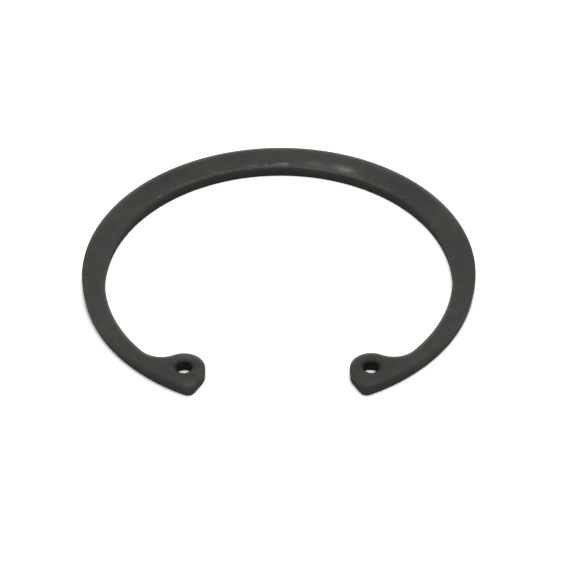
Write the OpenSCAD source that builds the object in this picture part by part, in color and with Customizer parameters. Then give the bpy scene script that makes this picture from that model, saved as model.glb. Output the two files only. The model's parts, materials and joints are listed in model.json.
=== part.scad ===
// Circlip retaining ring for a bore: one flat stamping of spring steel, drawn relaxed.
// The ring lies on its lower face at z = 0, centred on its outer circle, with its gap towards -Y.
// Its two ends are mirror images, so only the one at +X is worked out.

/* [Ring] */
// Diameter of the outer rim
outer_d = 76.5; // [64:0.5:92]
// Thickness of the sheet
thickness = 2.5; // [1.8:0.05:3.2]
// Width of the ring opposite the gap, its widest place
back_w = 7.1; // [5.5:0.1:8.5]
// How far the bore's centre sits towards the gap, which thins the ring from its back to its ends
taper_offset = 2.45; // [1.9:0.05:3]

/* [Gap] */
// Width of the gap along the rim, between the toes before they are rounded
gap_w = 30.9; // [24:0.1:37]
// Lean of the two end faces in degrees, which narrows the gap inwards
end_lean = 30; // [25:0.5:34]
// Corner radius of a toe, where the end face meets the rim
toe_r = 1.45; // [1.1:0.05:1.8]

/* [Lugs] */
// Height of a lug, from the rim to the top of its head
lug_h = 8; // [6.6:0.05:9.4]
// Radius of the round head, which runs on smoothly from the end face
head_r = 4.05; // [3.4:0.05:4.8]
// Radius of the hollow between the head and the ring
blend_r = 5; // [4:0.1:6]

/* [Plier holes] */
// Diameter of the hole in each lug
hole_d = 3; // [2.5:0.1:3.6]
// How far the hole sits from the head's centre, towards the middle of the ring
hole_in = 0.35; // [0.2:0.05:0.5]

/* [Edges] */
// Radius of the upper edges, where the punch drew the sheet in
roll_r = 0.35; // [0.2:0.05:0.45]
// Radius of the lower edges, tumbled smooth
burr_r = 0.1; // [0.05:0.05:0.2]

/* [Hidden] */
$fn = 180;

// Turns a length and an angle into a point.
function polar(r, a) = [r * cos(a), r * sin(a)];
// Angle of the line from one point to another.
function heading(from, to) = atan2(to[1] - from[1], to[0] - from[0]);
// The crossing of two circles to the left of the line between their centres.
function crossing(c1, r1, c2, r2) =
    let (d = norm(c2 - c1), along = (d * d + r1 * r1 - r2 * r2) / (2 * d))
    c1 + polar(along, heading(c1, c2)) + polar(sqrt(r1 * r1 - along * along), heading(c1, c2) + 90);
// Where a line first comes within a distance r of the ring's centre.
function entry(start, dir, r) =
    let (b = start * dir)
    start - dir * (b + sqrt(b * b - start * start + r * r));
// Points along an arc.
function arc(c, r, from, to, steps) = [for (i = [0 : steps]) c + polar(r, from + (to - from) * i / steps)];
// The angle that a length takes up on a circle.
function turn(length, r) = length / r * 180 / PI;

rim_c = [0, 0];
rim_r = outer_d / 2;
bore_c = [0, -taper_offset];
bore_r = rim_r - back_w + taper_offset;
hole_r = hole_d / 2;

// Neighbouring curves reach over each other by this much, so that they cross and don't just touch.
lap = 0.003;
// Length by which a band runs on inside the next one.
run_on = 0.6;

// The end face starts at its corner on the rim and runs inwards, with the metal on the side of end_in.
end_dir = polar(1, 90 + end_lean);
end_in = polar(1, end_lean);
end_out_a = 180 + end_lean;
end_corner = [gap_w / 2, -sqrt(rim_r * rim_r - gap_w * gap_w / 4)];

// Every round corner touches the lines or circles beside it, and its centre follows from that.
toe_c = entry(end_corner + end_in * toe_r, end_dir, rim_r - toe_r);
head_c = entry(end_corner + end_in * (head_r - lap), end_dir, rim_r - lug_h + head_r);
blend_c = crossing(bore_c, bore_r - blend_r + lap, head_c, head_r + blend_r - lap);
hole_c = head_c - polar(hole_in, heading(rim_c, head_c));

// Directions in which the outline passes from one stretch to the next.
toe_a = heading(rim_c, toe_c);
head_a = heading(head_c, blend_c);
blend_a = heading(blend_c, head_c);
bore_a = heading(bore_c, blend_c);

// Depth of the bands that carry the rounded edges.
band_w = 0.8;
// The sides of the flat core run inside the bands, behind the rounded edges.
core_in = (max(roll_r, burr_r) + band_w) / 2;
// Number of straight steps in the core's hidden sides, along the ring and round each bend of a lug.
ring_steps = 40;
bend_steps = 8;
// Facets that a preview gives the small circles of the rounded edges.
edge_fn = 32;

steel = [0.26, 0.26, 0.24];

// Section of an edge: its outer face at x = 0, the metal at negative x.
module edge_section(depth = band_w) {
    difference() {
        translate([-depth, 0]) square([depth, thickness]);
        translate([-roll_r, thickness - roll_r]) difference() {
            square(2 * roll_r);
            circle(roll_r, $fn = edge_fn);
        }
        translate([-burr_r, burr_r]) mirror([0, 1]) difference() {
            square(2 * burr_r);
            circle(burr_r, $fn = edge_fn);
        }
    }
}

// Edge band along an arc that bulges out of the metal.
module outer_band(c, r, from, to) {
    translate(c) rotate_extrude(angle = to - from, start = from)
        translate([r, 0]) edge_section();
}

// Edge band along an arc that hollows the metal.
module inner_band(c, r, from, to) {
    translate(c) rotate_extrude(angle = to - from, start = from)
        translate([r, 0]) mirror([1, 0]) edge_section();
}

// Edge band along a straight line, with the metal on its left.
module straight_band(from, to) {
    translate(from) rotate([90, 0, heading(from, to) + 90])
        linear_extrude(norm(to - from)) edge_section();
}

// A round corner, as a whole disc that fills it. The section is cut off at the disc's own axis.
module corner_disc(c, r) {
    translate(c) rotate_extrude() intersection() {
        translate([r, 0]) edge_section(2 * r);
        square([r, thickness]);
    }
}

// Rounded edges of the lug at +X, from the rim to the bore.
module lug_edges() {
    corner_disc(toe_c, toe_r + lap);
    straight_band(toe_c - end_in * toe_r, head_c - end_in * (head_r - lap));
    outer_band(head_c, head_r, head_a - turn(run_on, head_r), end_out_a + turn(run_on, head_r));
    inner_band(blend_c, blend_r, blend_a, bore_a);
    inner_band(hole_c, hole_r, 0, 360);
}

// Flat metal of the +X half: the outline drawn in by core_in, from the back along the bore and round the lug.
module core_half() {
    linear_extrude(thickness) difference() {
        polygon(concat(
            arc(bore_c, bore_r + core_in, 90, bore_a, ring_steps),
            arc(blend_c, blend_r + core_in, bore_a, blend_a, bend_steps),
            arc(head_c, head_r - core_in, head_a, end_out_a, bend_steps),
            arc(toe_c, toe_r - core_in, end_out_a, toe_a + 360, bend_steps),
            arc(rim_c, rim_r - core_in, toe_a, 90, ring_steps)));
        translate(hole_c) circle(hole_r + core_in);
    }
}

module retaining_ring() {
    bore_end = bore_a - turn(run_on, bore_r);
    color(steel) {
        for (side = [0, 1]) mirror([side, 0, 0]) {
            core_half();
            lug_edges();
        }
        outer_band(rim_c, rim_r, toe_a, 180 - toe_a);
        inner_band(bore_c, bore_r, bore_end, 180 - bore_end);
    }
}

retaining_ring();
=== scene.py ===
"""Circlip retaining ring: the looks of one flat stamping of phosphated spring steel.

Lengths are in metres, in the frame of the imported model, where nothing else is said. The ring lies on
z = 0, centred on its round rim, with its gap towards -Y. Its two ends are mirror images.
"""

import functools
import json
import math

import bmesh
import bpy
from bpy.props import FloatProperty, FloatVectorProperty, PointerProperty
from bpy.types import Operator, Panel, PropertyGroup
from mathutils import Matrix, Vector


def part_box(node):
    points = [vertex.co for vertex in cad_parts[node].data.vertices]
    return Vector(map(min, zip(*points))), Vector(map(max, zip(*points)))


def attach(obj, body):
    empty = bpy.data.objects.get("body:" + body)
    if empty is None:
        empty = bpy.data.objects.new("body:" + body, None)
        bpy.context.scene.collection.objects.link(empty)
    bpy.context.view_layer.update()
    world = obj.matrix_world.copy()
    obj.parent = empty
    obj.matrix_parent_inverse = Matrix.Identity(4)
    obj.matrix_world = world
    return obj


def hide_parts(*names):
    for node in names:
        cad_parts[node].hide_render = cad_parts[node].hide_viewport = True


bl_info = {
    "name": "Circlip Retaining Ring",
    "version": (1, 0, 0),
    "blender": (4, 5, 0),
    "location": "View3D > Sidebar > Circlip",
    "description": "Builds the looks of a circlip round its packed solid, with a floor, lights and a camera",
    "category": "Add Mesh",
}

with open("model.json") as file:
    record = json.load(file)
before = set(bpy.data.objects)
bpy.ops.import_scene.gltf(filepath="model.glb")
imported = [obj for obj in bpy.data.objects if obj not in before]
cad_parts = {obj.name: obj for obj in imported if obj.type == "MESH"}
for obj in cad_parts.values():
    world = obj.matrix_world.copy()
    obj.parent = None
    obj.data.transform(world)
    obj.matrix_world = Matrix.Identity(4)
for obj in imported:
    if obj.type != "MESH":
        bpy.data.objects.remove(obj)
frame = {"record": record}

MM = 0.001
NODE = "retaining_ring"
MOUNTS = {mount["name"]: mount for mount in frame["record"]["mounts"]}
# The box of the solid that the ring's looks stand for.
SOLID_LOW, SOLID_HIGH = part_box(NODE)


def length(name, description, millimetres):
    """A size that a user would change."""
    return FloatProperty(
        name=name, description=description, default=millimetres * MM, min=0, precision=5, unit="LENGTH"
    )


def angle(name, description, degrees):
    """An angle that a user would change."""
    return FloatProperty(
        name=name, description=description, default=math.radians(degrees), subtype="ANGLE"
    )


def number(name, description, default, most=1):
    """A plain number that a user would change."""
    return FloatProperty(name=name, description=description, default=default, min=0, max=most)


def tint(name, description, colour):
    """A colour that a user would change."""
    return FloatVectorProperty(
        name=name, description=description, default=colour, min=0, max=1, size=3, subtype="COLOR"
    )


class RingSizes(PropertyGroup):
    """Sizes of the stamping. The rim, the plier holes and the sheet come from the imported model."""

    rim_radius: length("Rim radius", "Radius of the round outer rim", MOUNTS["outer_rim"]["dims"]["r_mm"])
    thickness: length("Thickness", "Thickness of the sheet", (SOLID_HIGH.z - SOLID_LOW.z) / MM)
    back_width: length("Back width", "Width of the ring opposite its gap", 7.1)
    taper_offset: length("Taper offset", "How far the bore's centre sits towards the gap", 2.45)
    gap_width: length("Gap width", "Width of the gap along the rim, before the toes are rounded", 30.9)
    end_lean: angle("End lean", "Lean of the two end faces", 30)
    toe_radius: length("Toe radius", "Corner radius where an end face meets the rim", 1.45)
    lug_height: length("Lug height", "Height of a lug, from the rim to the top of its head", 8)
    head_radius: length("Head radius", "Radius of a lug's round head", 4.05)
    blend_radius: length("Blend radius", "Radius of the hollow between a head and the ring", 5)
    hole_radius: length(
        "Hole radius", "Radius of a plier hole", MOUNTS["plier_hole_right"]["dims"]["r_mm"]
    )
    roll_width: length("Upper edge width", "Width of the edge that the punch drew in, across the face", 0.95)
    roll_depth: length("Upper edge depth", "Depth of the edge that the punch drew in, down the wall", 0.25)
    tumbled_radius: length("Lower edge radius", "Radius of the lower edges, tumbled smooth", 0.1)
    burnish: number("Burnished share", "Share of the cut wall, from the top, that was left smooth", 0.45)
    torn_lean: length("Torn lean", "How far the torn part of the cut wall draws in towards its foot", 0.13)
    torn_depth: length("Torn depth", "Depth of the pits in the torn lower part of the cut wall", 0.05)
    pit_width: length("Pit width", "Width of the pits in the torn lower part of the cut wall", 0.55)
    edge_step: length("Edge step", "Longest straight step of the outline", 0.25)


class SteelFinish(PropertyGroup):
    """Colours, patterns and wear of the phosphated steel."""

    grey: tint("Grey", "Neutral patches of the phosphate", (0.0338, 0.034, 0.0326))
    olive: tint("Olive", "Olive patches of the phosphate", (0.0332, 0.034, 0.0252))
    torn: tint("Torn wall", "Dull steel of the torn part of the cut wall", (0.04, 0.04, 0.039))
    rubbed_and_highlit: tint("Rubbed", "Paler steel where the phosphate is rubbed thin", (0.15, 0.15, 0.145))
    roughness: number("Roughness", "Roughness of the matt phosphate", 0.62)
    gloss: number("Gloss", "Strength of the reflections on the phosphate", 0.18)
    patch_size: length("Patch size", "Size of the grey and olive patches", 3.5)
    cloud_size: length("Cloud size", "Size of the lighter and darker clouds", 2.2)
    scuff_size: length("Scuff size", "Size of the scuffs that break up worn places", 0.7)
    grain_size: length("Grain size", "Size of the crystals of the phosphate", 0.22)
    clouding: number("Clouding", "How much the clouds lighten and darken the finish", 1.1, 5)
    graininess: number("Graininess", "How much the grain lightens and darkens the finish", 0.5, 5)
    # Painted highlight along the back of the rim.
    rim_highlight: number("Rim wear", "How much paler the face is along the back of the rim", 1.2, 5)
    # Painted highlight on the upper edges that face the back.
    back_edge_highlight: number("Edge wear", "How rubbed the upper edges are that face the back", 0.38)
    scuff_wear: number("Scuff wear", "How rubbed the scuffs are that lie along all upper edges", 0.06)
    # Painted highlight on the upper edge along the back of the bore.
    bore_edge_highlight: number("Bore wear", "How rubbed the upper edge is along the back of the bore", 0.16)
    # The next three are painted shade on the cut wall, on the bore's wall and in the plier holes.
    wall_shade: number("Wall shade", "How much darker the cut wall is than the face", 0.03)
    bore_shade: number("Bore shade", "How much darker still the wall of the bore is", 0.22)
    hole_shade: number("Hole shade", "How much darker the plier holes and their mouths are", 0.16)
    cloud_roughness: number("Cloud roughness", "How much the clouds change the roughness", 0.16)
    wall_roughness: number("Wall roughness", "How much rougher the cut wall is than the face", 0.3)
    hole_roughness: number("Hole roughness", "How much rougher the plier holes and their mouths are", 0.4)
    rubbed_smoothness: number("Rubbed smoothness", "How much smoother rubbed places are", 0.2)
    rubbed_metal: number("Rubbed metal", "How metallic rubbed places are", 0.5)
    relief: number("Relief", "Strength of the bumps that the grain makes", 0.35)
    relief_depth: length("Relief depth", "Depth of the bumps that the grain makes", 0.03)


class StageLook(PropertyGroup):
    """Camera, light and floor."""

    distance: length("Distance", "From the camera to the point it looks at", 306)
    elevation: angle("Elevation", "Height of the camera above the horizon", 40.773)
    azimuth: angle("Azimuth", "How far the camera stands round to the right", 0.588)
    roll: angle("Roll", "Tilt of the picture", -0.481)
    aim_right: length("Aim right", "How far right of the ring's centre the picture's middle is", 1.186)
    aim_down: length("Aim down", "How far below the ring's centre the picture's middle is", 2.64)
    lens: length("Lens", "Focal length of the camera", 98.556)
    sensor: length("Sensor", "Width of the camera's sensor", 36)
    softbox: length("Softbox", "Side of the square light overhead", 260)
    softbox_height: length("Softbox height", "Height of the light overhead", 520)
    softbox_right: length("Softbox right", "How far to the right the light overhead hangs", 40)
    softbox_power: number("Softbox power", "Power of the light overhead, in watts", 1.75, 100)
    fill: number("Fill", "Strength of the white room that lights the ring from all round", 0.42)
    floor: length("Floor", "Side of the square floor", 6000)


def polar(radius, heading):
    """A point at a distance and a heading."""
    return Vector((radius * math.cos(heading), radius * math.sin(heading), 0))


def heading_of(start, end):
    """Heading of the line from one point to another."""
    return math.atan2(end.y - start.y, end.x - start.x)


def crossing(centre_a, radius_a, centre_b, radius_b):
    """The crossing of two circles to the left of the line between their centres."""
    gap = (centre_b - centre_a).length
    along = (gap**2 + radius_a**2 - radius_b**2) / (2 * gap)
    across = math.sqrt(radius_a**2 - along**2)
    aim = heading_of(centre_a, centre_b)
    return centre_a + polar(along, aim) + polar(across, aim + math.pi / 2)


def entry(start, direction, radius):
    """Where a line first comes within a distance of the ring's centre."""
    ahead = start.dot(direction)
    return start - direction * (ahead + math.sqrt(ahead**2 - start.dot(start) + radius**2))


def bore_radius(sizes):
    """Radius of the bore, whose centre lies off the rim's by the taper offset."""
    return sizes.rim_radius - sizes.back_width + sizes.taper_offset


def torn_line(sizes):
    """Height at which the smooth upper part of the cut wall ends and the torn part begins."""
    return sizes.thickness * (1 - sizes.burnish)


class EndOutline:
    """Centres and directions of the outline round the lug at +X, each arc tangent to the next."""

    def __init__(self, sizes):
        self.sizes = sizes
        self.rim = Vector((0, 0, 0))
        self.bore = Vector((0, -sizes.taper_offset, 0))
        # The end face starts at its corner on the rim and runs inwards.
        self.along = polar(1, math.pi / 2 + sizes.end_lean)
        self.inwards = polar(1, sizes.end_lean)
        half_gap = sizes.gap_width / 2
        corner = Vector((half_gap, -math.sqrt(sizes.rim_radius**2 - half_gap**2), 0))
        self.toe = entry(
            corner + self.inwards * sizes.toe_radius, self.along, sizes.rim_radius - sizes.toe_radius
        )
        self.head = entry(
            corner + self.inwards * sizes.head_radius,
            self.along,
            sizes.rim_radius - sizes.lug_height + sizes.head_radius,
        )
        self.blend = crossing(
            self.bore,
            bore_radius(sizes) - sizes.blend_radius,
            self.head,
            sizes.head_radius + sizes.blend_radius,
        )

    def draw(self):
        """Draws the +X half of the outline, from the back of the rim clockwise to the back of the bore."""
        sizes = self.sizes
        step = sizes.edge_step
        outwards = math.pi + sizes.end_lean
        toe_heading = heading_of(self.rim, self.toe)
        head_heading = heading_of(self.head, self.blend)
        blend_heading = heading_of(self.blend, self.head)
        bore_heading = heading_of(self.bore, self.blend)
        draw_arc(self.rim, sizes.rim_radius, toe_heading - math.pi / 2, step)
        draw_arc(self.toe, sizes.toe_radius, outwards - 2 * math.pi - toe_heading, step)
        face_start = self.toe - self.inwards * sizes.toe_radius
        face_end = self.head - self.inwards * sizes.head_radius
        draw_line(face_end - face_start, step)
        draw_arc(self.head, sizes.head_radius, head_heading - outwards, step)
        draw_arc(self.blend, sizes.blend_radius, bore_heading - blend_heading, step)
        draw_arc(self.bore, bore_radius(sizes), math.pi / 2 - bore_heading, step)


def draw_arc(centre, radius, turn, step):
    """Spins the last point round a centre, counterclockwise where the turn is positive."""
    # Spin turns against its angle about an upward axis, so its axis points down.
    steps = math.ceil(radius * abs(turn) / step)
    bpy.ops.mesh.spin(steps=steps, angle=turn, center=centre, axis=(0, 0, -1))


def draw_line(way, step):
    """Extrudes the last point along a straight line."""
    steps = math.ceil(way.length / step)
    for _ in range(steps):
        bpy.ops.mesh.extrude_region_move(TRANSFORM_OT_translate={"value": way / steps})


def draw_hole(sizes):
    """Adds the outline of the plier hole at +X, level with the rest of the outline."""
    steps = math.ceil(2 * math.pi * sizes.hole_radius / sizes.edge_step)
    bpy.ops.mesh.primitive_circle_add(
        vertices=steps,
        radius=sizes.hole_radius,
        fill_type="NOTHING",
        location=(*MOUNTS["plier_hole_right"]["pos_m"][:2], torn_line(sizes)),
    )


def start_point(name, place):
    """Starts a piece as a single point, in edit mode."""
    bpy.ops.object.select_all(action="DESELECT")
    bpy.ops.mesh.primitive_plane_add(size=MM)
    piece = bpy.context.object
    piece.name = name
    bpy.ops.object.mode_set(mode="EDIT")
    bpy.ops.mesh.merge(type="CENTER")
    bpy.ops.transform.translate(value=place)
    return piece


def apply_modifier(piece, kind, **settings):
    """Adds a modifier and applies it."""
    modifier = piece.modifiers.new(kind.title(), kind)
    for name, value in settings.items():
        setattr(modifier, name, value)
    bpy.ops.object.modifier_apply(modifier=modifier.name)


def mirror_and_fill(piece):
    """Mirrors the half outline and fills the whole one with faces."""
    bpy.ops.object.mode_set(mode="OBJECT")
    apply_modifier(piece, "MIRROR", merge_threshold=0.01 * MM)
    bpy.ops.object.mode_set(mode="EDIT")
    bpy.ops.mesh.select_all(action="SELECT")
    bpy.ops.mesh.fill(use_beauty=True)


def turn_outwards():
    """Merges doubled points and turns all faces outwards."""
    bpy.ops.mesh.select_all(action="SELECT")
    bpy.ops.mesh.remove_doubles(threshold=0.001 * MM)
    bpy.ops.mesh.normals_make_consistent(inside=False)


def pick_level_faces(piece, side):
    """Selects the faces that look straight up, side 1, or straight down, side -1, and nothing else."""
    level = 0.9
    bpy.ops.mesh.select_mode(type="FACE")
    bpy.ops.mesh.select_all(action="DESELECT")
    mesh = bmesh.from_edit_mesh(piece.data)
    mesh.normal_update()
    for face in mesh.faces:
        face.select_set(face.normal.z * side > level)
    bmesh.update_edit_mesh(piece.data)


def even_rows(start, end, step):
    """Heights of even rows from a start to an end, the start left out."""
    rows = math.ceil(abs(end - start) / step)
    return [start + (end - start) * row / rows for row in range(1, rows + 1)]


def raise_upper_wall(sizes):
    """Extrudes the filled outline in rows from the torn line to the foot of the upper edge."""
    below = torn_line(sizes)
    for above in even_rows(below, sizes.thickness - sizes.roll_depth, sizes.edge_step):
        bpy.ops.mesh.extrude_region_move(TRANSFORM_OT_translate={"value": (0, 0, above - below)})
        below = above


def sink_lower_wall(piece, sizes):
    """Draws the underside down in rows, each a little further in, as the steel tears off."""
    pick_level_faces(piece, -1)
    above = start = torn_line(sizes)
    for below in even_rows(start, sizes.tumbled_radius, sizes.edge_step):
        drop = above - below
        bpy.ops.mesh.inset(thickness=sizes.torn_lean * drop / start, depth=drop, use_even_offset=True)
        above = below


def round_over(piece, side, width, depth, rows):
    """Rounds off the edge of the face on one side, with insets along a quarter of an oval."""
    pick_level_faces(piece, side)
    bends = [math.pi / 2 * row / rows for row in range(rows + 1)]
    for bend, next_bend in zip(bends, bends[1:]):
        bpy.ops.mesh.inset(
            thickness=width * (math.cos(bend) - math.cos(next_bend)),
            depth=depth * (math.sin(next_bend) - math.sin(bend)),
            use_even_offset=True,
        )
    # A narrow level row keeps the shading of the flat face apart from the rounded edge.
    level_row = 0.05 * MM
    bpy.ops.mesh.inset(thickness=level_row, depth=0, use_even_offset=True)


def weigh_wall(piece, sizes):
    """Weighs the points of the cut wall by how torn it is: none in its upper part, all in its middle."""
    group = piece.vertex_groups.new(name="torn wall")
    upright = 0.3
    fade = 0.25 * MM
    for point in piece.data.vertices:
        if abs(point.normal.z) < upright:
            from_top = (torn_line(sizes) - point.co.z) / fade
            from_below = (point.co.z - sizes.tumbled_radius) / fade
            weight = max(0, min(1, from_top, from_below))
            group.add([point.index], weight, "REPLACE")
    return group.name


def pit_wall(piece, sizes):
    """Pits the torn part of the cut wall."""
    pits = bpy.data.textures.new("torn steel", "CLOUDS")
    pits.noise_scale = sizes.pit_width
    pits.noise_depth = 3
    # With its middle level at 1, the texture only moves points inwards.
    apply_modifier(
        piece,
        "DISPLACE",
        texture=pits,
        texture_coords="LOCAL",
        vertex_group=weigh_wall(piece, sizes),
        mid_level=1,
        strength=sizes.torn_depth,
    )


def build_ring_mesh(sizes):
    """Models the ring from its outline and returns the finished object."""
    piece = start_point("ring_stamping", (0, sizes.rim_radius, torn_line(sizes)))
    EndOutline(sizes).draw()
    draw_hole(sizes)
    mirror_and_fill(piece)
    raise_upper_wall(sizes)
    turn_outwards()
    sink_lower_wall(piece, sizes)
    round_over(piece, 1, sizes.roll_width, sizes.roll_depth, rows=7)
    round_over(piece, -1, sizes.tumbled_radius, sizes.tumbled_radius, rows=3)
    bpy.ops.object.mode_set(mode="OBJECT")
    pit_wall(piece, sizes)
    sharp_from = math.radians(40)
    bpy.ops.object.shade_smooth_by_angle(angle=sharp_from)
    return piece


def check_mesh(piece):
    """Stops the script unless the ring is closed and fills the solid's box."""
    mesh = bmesh.new()
    mesh.from_mesh(piece.data)
    loose = [edge for edge in mesh.edges if len(edge.link_faces) != 2]
    corners = [point.co.copy() for point in mesh.verts]
    mesh.free()
    if loose:
        raise RuntimeError(f"the ring has {len(loose)} open or crowded edges")
    slack = 0.05 * MM
    for axis in range(3):
        low = min(corner[axis] for corner in corners)
        high = max(corner[axis] for corner in corners)
        if abs(low - SOLID_LOW[axis]) > slack or abs(high - SOLID_HIGH[axis]) > slack:
            raise RuntimeError(f"the ring doesn't fit the solid's box along axis {axis}")


class Value:
    """A socket of a material. Sums and products of values add the Math nodes that they need."""

    def __init__(self, graph, socket):
        self.graph = graph
        self.socket = socket

    def __add__(self, other):
        return self.graph.math("ADD", self, other)

    __radd__ = __add__

    def __mul__(self, other):
        return self.graph.math("MULTIPLY", self, other)

    __rmul__ = __mul__

    def __sub__(self, other):
        return self.graph.math("SUBTRACT", self, other)

    def __rsub__(self, other):
        return self.graph.math("SUBTRACT", other, self)

    def most(self, other):
        """The greater of two values."""
        return self.graph.math("MAXIMUM", self, other)

    def ramp(self, start, end):
        """0 up to one value and 1 from another, with a smooth rise between them."""
        settings = {"interpolation_type": "SMOOTHSTEP"}
        sockets = {"Value": self, "From Min": start, "From Max": end}
        return self.graph.node("ShaderNodeMapRange", settings, sockets)


class Graph:
    """The nodes of a material or a world."""

    def __init__(self, owner):
        owner.use_nodes = True
        self.tree = owner.node_tree
        self.tree.nodes.clear()

    def node(self, kind, settings=None, sockets=None, output=0):
        """Adds a node with its settings, fills its sockets with values or links, and gives an output."""
        node = self.tree.nodes.new(kind)
        for name, value in (settings or {}).items():
            setattr(node, name, value)
        for key, value in (sockets or {}).items():
            if isinstance(value, Value):
                self.tree.links.new(value.socket, node.inputs[key])
            else:
                node.inputs[key].default_value = value
        return Value(self, node.outputs[output]) if len(node.outputs) else None

    def math(self, operation, *terms):
        """Adds a Math node on its terms."""
        return self.node("ShaderNodeMath", {"operation": operation}, dict(enumerate(terms)))

    def mix(self, factor, first, second):
        """Mixes two colours."""
        settings = {"data_type": "RGBA", "clamp_factor": True}
        first, second = (value if isinstance(value, Value) else (*value, 1) for value in (first, second))
        sockets = {"Factor": factor, "A": first, "B": second}
        return self.node("ShaderNodeMix", settings, sockets, output="Result")

    def dim(self, colour, factor):
        """Multiplies a colour by a value."""
        return self.node("ShaderNodeVectorMath", {"operation": "SCALE"}, {0: colour, "Scale": factor})

    def part(self, vector, axis):
        """The part of a vector along X, Y or Z."""
        return self.node("ShaderNodeSeparateXYZ", {}, {"Vector": vector}, output=axis)

    def distance(self, point):
        """Distance of a point from the middle of its coordinates."""
        return self.node("ShaderNodeVectorMath", {"operation": "LENGTH"}, {0: point}, output="Value")

    def noise(self, point, size, detail=3, roughness=0.5):
        """Noise with patches of about a size, centred on one half."""
        sockets = {"Vector": point, "Scale": 1 / size, "Detail": detail, "Roughness": roughness}
        return self.node("ShaderNodeTexNoise", {}, sockets)


# Rub marks: middle in x and y, half length, half width, all in millimetres, turn in degrees, strength.
RUB_MARKS = (
    (0.6, 32.1, 2.4, 0.75, -1, 0.6),
    (1.1, 32.2, 1.2, 0.45, -2, 1.0),
    (-1.2, 31.8, 1.2, 0.45, 5, 0.6),
    (7.2, 32.1, 2.8, 1.1, -9, 0.25),
    (13.4, 30.2, 4.0, 1.9, -23, 0.5),
    (13.6, 30.1, 2.6, 1.15, -24, 1.0),
    (15.9, 28.2, 1.6, 1.1, -30, 0.22),
    (-5.9, 31.4, 2.0, 0.5, 10, 0.3),
    (-2.9, 31.7, 0.5, 0.5, 0, 0.8),
    (-13.8, 29.1, 0.3, 0.9, 0, 0.4),
    (-24.6, 21.1, 1.1, 0.5, 48, 0.4),
)
# Lighter and darker places: the same numbers, but the last one is how much lighter the place is.
TONES = (
    (17.5, -30.5, 8, 6.5, 0, -0.2),
    (-17.5, -30.5, 8, 6.5, 0, -0.2),
    (-15.5, -34.7, 3.2, 2.6, -25, 0.6),
    (-16.6, -27, 4.2, 1.8, 0, 0.6),
    (-13.4, -30.4, 4, 1.8, 80, 0.3),
    (15.6, -34.7, 3, 2.4, 25, 0.15),
    (36, 2, 17, 7, 90, -0.16),
    (27, 22, 11, 7, -48, -0.32),
    (-25, 27, 15, 7, 42, -0.3),
    (-31, -19, 9, 6, -60, 0.12),
    (-9, 34, 8, 5, 12, -0.16),
    (8.5, 31.5, 8, 2.6, -14, 0.4),
)


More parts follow.
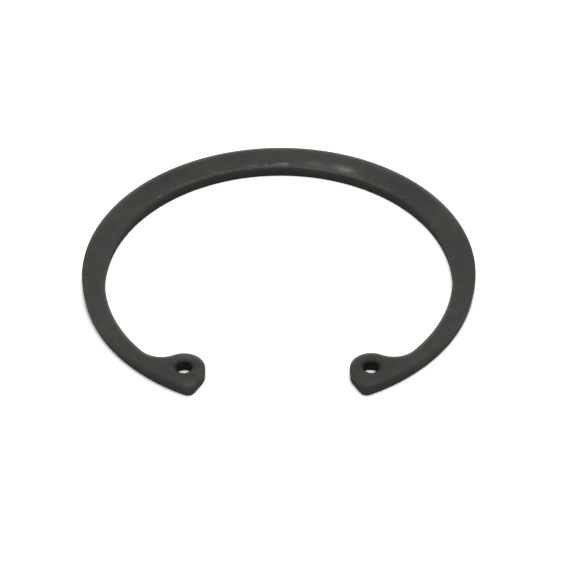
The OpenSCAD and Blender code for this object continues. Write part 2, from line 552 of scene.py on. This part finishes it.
class PhosphatedSteel:
    """Matt dark phosphate on steel: mottled grey and olive, a fine grain, paler rubbed places, and painted
    highlights and painted shade.

    Its patterns and places are values over the surface, from 0 to 1.
    """

    def __init__(self, name, sizes, finish):
        self.material = bpy.data.materials.new(name)
        self.sizes = sizes
        self.finish = finish
        self.graph = Graph(self.material)
        self.point = self.graph.node("ShaderNodeTexCoord", output="Object")
        self.height = self.graph.part(self.point, "Z")
        self.backward = self.graph.part(self.point, "Y")
        self.edge_foot = sizes.thickness - sizes.roll_depth
        # Patterns, from large to small.
        self.patches = self.graph.noise(self.point, finish.patch_size).ramp(0.4, 0.6)
        self.clouds = self.graph.noise(self.point, finish.cloud_size, detail=4, roughness=0.6)
        self.scuffs = self.graph.noise(self.point, finish.scuff_size, detail=4, roughness=0.65)
        self.grain = self.graph.noise(self.point, finish.grain_size, roughness=0.6)
        # Places on the stamping.
        self.off_underside = self.height.ramp(0, 0.03 * MM)
        self.wall = self.cut_wall()
        self.torn = self.torn_wall()
        self.inner = self.bore_side()
        self.hole = self.near_holes(fade=0.9)
        # Rub marks and scuff wear, with painted highlight on the upper edges that face the back and behind
        # the bore.
        self.rubbed_and_highlit = self.rub_marks().most(self.upper_edge() * self.worn_and_highlit_edge())
        self.add_shader()

    def oval(self, x, y, half_length, half_width, turn=0, core=0):
        """1 in the core of an upright oval column, falling to 0 at its rim.

        The lengths are in millimetres, the turn is in degrees, and the core is a share of the oval's size.
        """
        sockets = {
            "Vector": self.point,
            "Location": (x * MM, y * MM, 0),
            "Rotation": (0, 0, math.radians(turn)),
            "Scale": (half_length * MM, half_width * MM, 1),
        }
        centred = self.graph.node("ShaderNodeMapping", {"vector_type": "TEXTURE"}, sockets)
        return 1 - self.graph.distance(centred).ramp(core, 1)

    def near_holes(self, fade):
        """1 in the plier holes, falling to 0 over a fade outside them, in millimetres."""
        radius = self.sizes.hole_radius / MM
        reach = radius + fade
        holes = []
        for side in ("right", "left"):
            x, y, _ = MOUNTS[f"plier_hole_{side}"]["pos_m"]
            holes.append(self.oval(x / MM, y / MM, reach, reach, core=radius / reach))
        return holes[0].most(holes[1])

    def bore_side(self):
        """1 on the bore's side of the ring and on the heads, 0 towards the rim."""
        sockets = {"Vector": self.point, "Location": (0, self.sizes.taper_offset, 0)}
        centred = self.graph.node("ShaderNodeMapping", {}, sockets)
        edge = bore_radius(self.sizes) + 0.3 * MM
        fade = 0.9 * MM
        return 1 - self.graph.distance(centred).ramp(edge, edge + fade)

    def cut_wall(self):
        """The cut wall, which sets in slowly from the face down."""
        full_from = 1.1 * MM
        return (1 - self.height.ramp(full_from, self.sizes.thickness)) * self.off_underside

    def torn_wall(self):
        """The torn part of the cut wall, below a line that wanders up and down."""
        line = torn_line(self.sizes)
        wander = 0.9 * MM
        fade = 0.15 * MM
        uneven = self.height + (self.clouds - 0.5) * wander
        return (1 - uneven.ramp(line - fade, line + fade)) * self.off_underside

    def upper_edge(self):
        """The rounded upper edge, without the flat face inside it."""
        top = self.sizes.thickness
        face = self.height.ramp(top - 0.004 * MM, top - 0.0005 * MM)
        return self.height.ramp(self.edge_foot - 0.1 * MM, self.edge_foot) - face

    def rub_marks(self):
        """The single rub marks on the face, broken up by scuffs."""
        marks = [self.oval(*place, core=0.2) * strength for *place, strength in RUB_MARKS]
        on_face = self.height.ramp(self.edge_foot, self.sizes.thickness)
        many_scuffs = self.scuffs.ramp(0.2, 0.5)
        return functools.reduce(Value.most, marks) * on_face * many_scuffs

    def worn_and_highlit_edge(self):
        """How pale an upper edge is: worn in scuffs all round, and with painted highlight where it faces the
        back and behind the bore.
        """
        finish = self.finish
        few_scuffs = self.scuffs.ramp(0.42, 0.7)
        some_scuffs = self.scuffs.ramp(0.3, 0.6)
        off_holes = 1 - self.near_holes(fade=1.5)
        normal = self.graph.node("ShaderNodeTexCoord", output="Normal")
        # Painted highlight: upper edges that face the back, away from the holes, are made paler.
        facing_back = self.graph.part(normal, "Y").ramp(0.005, 0.12) * off_holes
        # Painted highlight: the upper edge along the back of the bore, broken up by scuffs, is made paler.
        behind_bore = self.inner * self.backward.ramp(16 * MM, 29 * MM) * some_scuffs
        return (
            few_scuffs * finish.scuff_wear
            + facing_back * finish.back_edge_highlight
            + behind_bore * finish.bore_edge_highlight
        )

    def highlit_back_rim(self):
        """A painted highlight: how much paler the back half of the face is towards the rim."""
        rim = self.sizes.rim_radius
        highlight_width = 2.2 * MM
        near_rim = self.graph.distance(self.point).ramp(rim - highlight_width, rim)
        back_half = self.backward.ramp(4 * MM, 24 * MM)
        return near_rim * near_rim * back_half

    def lightness(self):
        """How light the colour is, where 1 is its plain colour, with a painted highlight along the back of
        the rim.
        """
        finish = self.finish
        light = (self.clouds - 0.5) * finish.clouding + (self.grain - 0.5) * finish.graininess + 1
        # A painted highlight makes the back of the face paler towards the rim.
        light = light + self.highlit_back_rim() * finish.rim_highlight
        for *place, change in TONES:
            light = light + self.oval(*place) * change
        return light

    def colour(self):
        """Grey and olive patches, with less olive on the wall, dull where torn, darkened by painted shade on
        the cut wall and in the plier holes, and pale where rubbed and where upper edges carry painted
        highlights.
        """
        graph = self.graph
        finish = self.finish
        less_olive = 0.7
        dull = 0.6
        colour = graph.mix(self.patches * (1 - self.wall * less_olive), finish.grey, finish.olive)
        colour = graph.dim(colour, self.lightness())
        colour = graph.mix(self.torn * dull, colour, finish.torn)
        # Painted shade: the cut wall darkens from the face down, the bore's wall more, and the plier holes
        # and their mouths are darkened.
        shade = self.wall * (self.inner * finish.bore_shade + finish.wall_shade)
        colour = graph.dim(colour, 1 - shade - self.hole * finish.hole_shade)
        # Pale rubbed places, and painted highlights on the upper edges, in the pale colour.
        return graph.mix(self.rubbed_and_highlit, colour, finish.rubbed_and_highlit)

    def roughness(self):
        """The roughness: uneven in clouds, more on the wall and at the holes, and less where rubbed and on
        the edges with painted highlights.
        """
        finish = self.finish
        cloudy = (self.clouds - 0.5) * finish.cloud_roughness + finish.roughness
        rougher = self.wall * finish.wall_roughness + self.hole * finish.hole_roughness
        return cloudy + rougher - self.rubbed_and_highlit * finish.rubbed_smoothness

    def relief(self):
        """The bump of the grain, with coarser scuffs on the torn wall."""
        finish = self.finish
        coarse = 3
        height = (self.grain - 0.5) + (self.scuffs - 0.5) * self.torn * coarse
        sockets = {"Strength": finish.relief, "Distance": finish.relief_depth, "Height": height}
        return self.graph.node("ShaderNodeBump", {}, sockets)

    def add_shader(self):
        """Gives the material its shader."""
        sockets = {
            "Base Color": self.colour(),
            "Metallic": self.rubbed_and_highlit * self.finish.rubbed_metal,
            "Roughness": self.roughness(),
            "Specular IOR Level": self.finish.gloss,
            "Normal": self.relief(),
        }
        surface = self.graph.node("ShaderNodeBsdfPrincipled", {}, sockets)
        self.graph.node("ShaderNodeOutputMaterial", {}, {"Surface": surface})


def seen(graph):
    """1 where a ray comes from the camera, a reflection or a look through glass."""
    kinds = ("Camera", "Glossy", "Transmission")
    rays = [graph.node("ShaderNodeLightPath", output=f"Is {kind} Ray") for kind in kinds]
    return functools.reduce(Value.most, rays)


def white_room(fill):
    """A world that shows as white and lights the ring by the fill."""
    world = bpy.data.worlds.new("white room")
    graph = Graph(world)
    strength = seen(graph) * (1 - fill) + fill
    background = graph.node("ShaderNodeBackground", {}, {"Color": (1, 1, 1, 1), "Strength": strength})
    graph.node("ShaderNodeOutputWorld", {}, {"Surface": background})
    return world


def white_floor():
    """A floor that shows as white, but keeps the shadow at the ring's foot."""
    material = bpy.data.materials.new("white floor")
    graph = Graph(material)
    white = seen(graph)
    lit_colour = (0.8, 0.8, 0.8)
    seen_colour = (1.4, 1.4, 1.4)
    matt = graph.node("ShaderNodeBsdfDiffuse", {}, {"Color": graph.mix(white, lit_colour, seen_colour)})
    # Far from the ring, where little light falls, the floor shows as white by itself.
    glow = graph.node("ShaderNodeEmission", {}, {"Color": (1, 1, 1, 1), "Strength": 1})
    from_middle = graph.distance(graph.node("ShaderNodeTexCoord", output="Object"))
    far = from_middle.ramp(80 * MM, 250 * MM) * white
    surface = graph.node("ShaderNodeMixShader", {}, {0: far, 1: matt, 2: glow})
    graph.node("ShaderNodeOutputMaterial", {}, {"Surface": surface})
    return material


def add_floor(look):
    """Adds the floor that the ring lies on."""
    bpy.ops.object.select_all(action="DESELECT")
    bpy.ops.mesh.primitive_plane_add(size=look.floor)
    floor = bpy.context.object
    floor.name = "floor"
    floor.data.materials.append(white_floor())


def add_softbox(look):
    """Adds the square light overhead, turned towards the ring."""
    bpy.ops.object.light_add(type="AREA", location=(look.softbox_right, 0, look.softbox_height))
    lamp = bpy.context.object
    lamp.name = "softbox"
    lamp.data.size = look.softbox
    lamp.data.energy = look.softbox_power
    lamp.rotation_euler = (0, math.atan2(look.softbox_right, look.softbox_height), 0)


def camera_place(look):
    """The camera's place and turn, from its distance, elevation, azimuth and roll."""
    level = math.cos(look.elevation)
    back = Vector(
        (math.sin(look.azimuth) * level, -math.cos(look.azimuth) * level, math.sin(look.elevation))
    )
    flat = Vector((math.cos(look.azimuth), math.sin(look.azimuth), 0))
    upright = back.cross(flat)
    right = flat * math.cos(look.roll) + upright * math.sin(look.roll)
    up = upright * math.cos(look.roll) - flat * math.sin(look.roll)
    aim = flat * look.aim_right - upright * look.aim_down
    return Matrix.Translation(aim + back * look.distance) @ Matrix((right, up, back)).transposed().to_4x4()


def add_camera(look):
    """Adds the camera of the photograph."""
    bpy.ops.object.camera_add()
    camera = bpy.context.object
    camera.matrix_world = camera_place(look)
    camera.data.sensor_width = look.sensor / MM
    camera.data.lens = look.lens / MM
    camera.data.clip_start = 10 * MM
    camera.data.clip_end = 20_000 * MM
    bpy.context.scene.camera = camera


class CIRCLIP_OT_ring(Operator):
    """Add the ring as one stamping with rounded edges and phosphated steel"""

    bl_idname = "circlip.ring"
    bl_label = "Add Ring"

    def execute(self, context):
        sizes = context.scene.ring_sizes
        piece = build_ring_mesh(sizes)
        check_mesh(piece)
        steel = PhosphatedSteel("phosphated_steel", sizes, context.scene.steel_finish)
        piece.data.materials.clear()
        piece.data.materials.append(steel.material)
        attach(piece, "root")
        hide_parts(NODE)
        return {"FINISHED"}


class CIRCLIP_OT_stage(Operator):
    """Add the white floor, the soft light overhead, the white room and the camera"""

    bl_idname = "circlip.stage"
    bl_label = "Add Stage"

    def execute(self, context):
        look = context.scene.stage_look
        add_floor(look)
        add_softbox(look)
        add_camera(look)
        context.scene.world = white_room(look.fill)
        context.scene.view_settings.view_transform = "Standard"
        return {"FINISHED"}


class CIRCLIP_PT_panel(Panel):
    """Sizes, colours and the two steps that build the scene"""

    bl_label = "Circlip"
    bl_space_type = "VIEW_3D"
    bl_region_type = "UI"
    bl_category = "Circlip"

    def draw(self, context):
        layout = self.layout
        for group, operator in (
            ("ring_sizes", "circlip.ring"),
            ("steel_finish", None),
            ("stage_look", "circlip.stage"),
        ):
            settings = getattr(context.scene, group)
            box = layout.box()
            for name in type(settings).__annotations__:
                box.prop(settings, name)
            if operator:
                box.operator(operator)


CLASSES = (RingSizes, SteelFinish, StageLook, CIRCLIP_OT_ring, CIRCLIP_OT_stage, CIRCLIP_PT_panel)


def register():
    """Registers the classes and gives the scene its settings."""
    for cls in CLASSES:
        bpy.utils.register_class(cls)
    bpy.types.Scene.ring_sizes = PointerProperty(type=RingSizes)
    bpy.types.Scene.steel_finish = PointerProperty(type=SteelFinish)
    bpy.types.Scene.stage_look = PointerProperty(type=StageLook)


def unregister():
    """Takes the settings and the classes away again."""
    del bpy.types.Scene.stage_look
    del bpy.types.Scene.steel_finish
    del bpy.types.Scene.ring_sizes
    for cls in reversed(CLASSES):
        bpy.utils.unregister_class(cls)


def main():
    """Builds the scene."""
    register()
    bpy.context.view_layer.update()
    bpy.ops.circlip.ring()
    bpy.ops.circlip.stage()
    bpy.context.view_layer.update()


if __name__ == "__main__":
    main()
